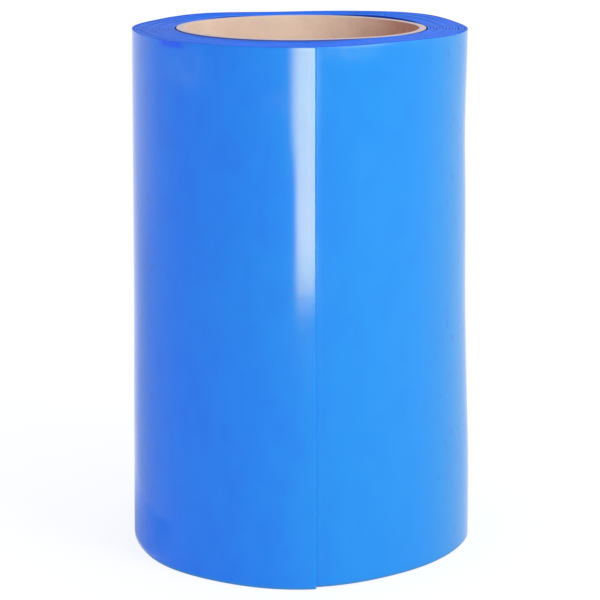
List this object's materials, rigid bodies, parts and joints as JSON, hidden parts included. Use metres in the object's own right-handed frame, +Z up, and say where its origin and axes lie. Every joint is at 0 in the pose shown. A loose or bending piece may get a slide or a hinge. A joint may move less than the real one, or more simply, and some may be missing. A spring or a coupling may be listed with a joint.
{
  "type": "strip curtain roll",
  "caption": "Roll of blue PVC strip for a strip door curtain, wound on a cardboard core and standing on its end, with a free end that peels off.",
  "frame": {"origin": "middle of the roll's box in plan, at the height of the surface that it stands on", "axes": "+Z up along the core; -Y towards the side with the strip's free end; +X to the right, seen from that side"},
  "size_m": [0.2558, 0.263, 0.401],
  "materials": {
    "strip": "gloss",
    "core": "matte"
  },
  "bodies": {
    "roll": {"strip_winding": "strip"},
    "core": {"core_tube": "core"},
    "tail_1": {"strip_tail_1": "strip"},
    "tail_2": {"strip_tail_2": "strip"},
    "tail_3": {"strip_tail_3": "strip"},
    "tail_4": {"strip_tail_4": "strip"},
    "tail_5": {"strip_tail_5": "strip"},
    "tail_6": {"strip_tail_6": "strip"},
    "tail_7": {"strip_tail_7": "strip"},
    "tail_8": {"strip_tail_8": "strip"},
    "tail_9": {"strip_tail_9": "strip"},
    "tail_10": {"strip_tail_10": "strip"},
    "tail_11": {"strip_tail_11": "strip"},
    "tail_12": {"strip_tail_12": "strip"},
    "tail_13": {"strip_tail_13": "strip"},
    "tail_14": {"strip_tail_14": "strip"},
    "tail_15": {"strip_tail_15": "strip"},
    "tail_16": {"strip_tail_16": "strip"}
  },
  "joints": [
    {"name": "core_lift", "type": "slide", "parent": "roll", "child": "core", "axis": [0, 0, 1], "range_m": [0, 0.42]},
    {"name": "peel_1", "type": "hinge", "parent": "roll", "child": "tail_1", "pos_m": [-0.12792, 0.00368, 0.2], "axis": [0, 0, -1], "range_deg": [0, 6.34], "stiffness_Nm_per_rad": 0.3},
    {"name": "peel_2", "type": "hinge", "parent": "tail_1", "child": "tail_2", "pos_m": [-0.12718, -0.00986, 0.2], "axis": [0, 0, -1], "range_deg": [0, 6.31], "stiffness_Nm_per_rad": 0.3},
    {"name": "peel_3", "type": "hinge", "parent": "tail_2", "child": "tail_3", "pos_m": [-0.12497, -0.02323, 0.2], "axis": [0, 0, -1], "range_deg": [0, 6.22], "stiffness_Nm_per_rad": 0.3},
    {"name": "peel_4", "type": "hinge", "parent": "tail_3", "child": "tail_4", "pos_m": [-0.12132, -0.03627, 0.2], "axis": [0, 0, -1], "range_deg": [0, 6.05], "stiffness_Nm_per_rad": 0.3},
    {"name": "peel_5", "type": "hinge", "parent": "tail_4", "child": "tail_5", "pos_m": [-0.11632, -0.04884, 0.2], "axis": [0, 0, -1], "range_deg": [0, 5.77], "stiffness_Nm_per_rad": 0.3},
    {"name": "peel_6", "type": "hinge", "parent": "tail_5", "child": "tail_6", "pos_m": [-0.11009, -0.06083, 0.2], "axis": [0, 0, -1], "range_deg": [0, 5.36], "stiffness_Nm_per_rad": 0.3},
    {"name": "peel_7", "type": "hinge", "parent": "tail_6", "child": "tail_7", "pos_m": [-0.10277, -0.07218, 0.2], "axis": [0, 0, -1], "range_deg": [0, 4.84], "stiffness_Nm_per_rad": 0.3},
    {"name": "peel_8", "type": "hinge", "parent": "tail_7", "child": "tail_8", "pos_m": [-0.09451, -0.0829, 0.2], "axis": [0, 0, -1], "range_deg": [0, 4.39], "stiffness_Nm_per_rad": 0.3},
    {"name": "peel_9", "type": "hinge", "parent": "tail_8", "child": "tail_9", "pos_m": [-0.0854, -0.093, 0.2], "axis": [0, 0, -1], "range_deg": [0, 4.25], "stiffness_Nm_per_rad": 0.3},
    {"name": "peel_10", "type": "hinge", "parent": "tail_9", "child": "tail_10", "pos_m": [-0.07549, -0.10249, 0.2], "axis": [0, 0, -1], "range_deg": [0, 4.66], "stiffness_Nm_per_rad": 0.3},
    {"name": "peel_11", "type": "hinge", "parent": "tail_10", "child": "tail_11", "pos_m": [-0.06471, -0.11125, 0.2], "axis": [0, 0, -1], "range_deg": [0, 5.74], "stiffness_Nm_per_rad": 0.3},
    {"name": "peel_12", "type": "hinge", "parent": "tail_11", "child": "tail_12", "pos_m": [-0.05296, -0.11898, 0.2], "axis": [0, 0, -1], "range_deg": [0, 7.23], "stiffness_Nm_per_rad": 0.3},
    {"name": "peel_13", "type": "hinge", "parent": "tail_12", "child": "tail_13", "pos_m": [-0.04024, -0.12522, 0.2], "axis": [0, 0, -1], "range_deg": [0, 8.67], "stiffness_Nm_per_rad": 0.3},
    {"name": "peel_14", "type": "hinge", "parent": "tail_13", "child": "tail_14", "pos_m": [-0.02666, -0.1295, 0.2], "axis": [0, 0, -1], "range_deg": [0, 9.48], "stiffness_Nm_per_rad": 0.3},
    {"name": "peel_15", "type": "hinge", "parent": "tail_14", "child": "tail_15", "pos_m": [-0.01256, -0.13148, 0.2], "axis": [0, 0, -1], "range_deg": [0, 9.34], "stiffness_Nm_per_rad": 0.3},
    {"name": "peel_16", "type": "hinge", "parent": "tail_15", "child": "tail_16", "pos_m": [0.00165, -0.13115, 0.2], "axis": [0, 0, -1], "range_deg": [0, 8.3], "stiffness_Nm_per_rad": 0.3}
  ],
  "couplings": [
    {"joint": "peel_2", "follows": "peel_1", "ratio": 0.995},
    {"joint": "peel_3", "follows": "peel_1", "ratio": 0.981},
    {"joint": "peel_4", "follows": "peel_1", "ratio": 0.954},
    {"joint": "peel_5", "follows": "peel_1", "ratio": 0.91},
    {"joint": "peel_6", "follows": "peel_1", "ratio": 0.844},
    {"joint": "peel_7", "follows": "peel_1", "ratio": 0.763},
    {"joint": "peel_8", "follows": "peel_1", "ratio": 0.691},
    {"joint": "peel_9", "follows": "peel_1", "ratio": 0.669},
    {"joint": "peel_10", "follows": "peel_1", "ratio": 0.735},
    {"joint": "peel_11", "follows": "peel_1", "ratio": 0.904},
    {"joint": "peel_12", "follows": "peel_1", "ratio": 1.139},
    {"joint": "peel_13", "follows": "peel_1", "ratio": 1.366},
    {"joint": "peel_14", "follows": "peel_1", "ratio": 1.495},
    {"joint": "peel_15", "follows": "peel_1", "ratio": 1.472},
    {"joint": "peel_16", "follows": "peel_1", "ratio": 1.309}
  ]
}
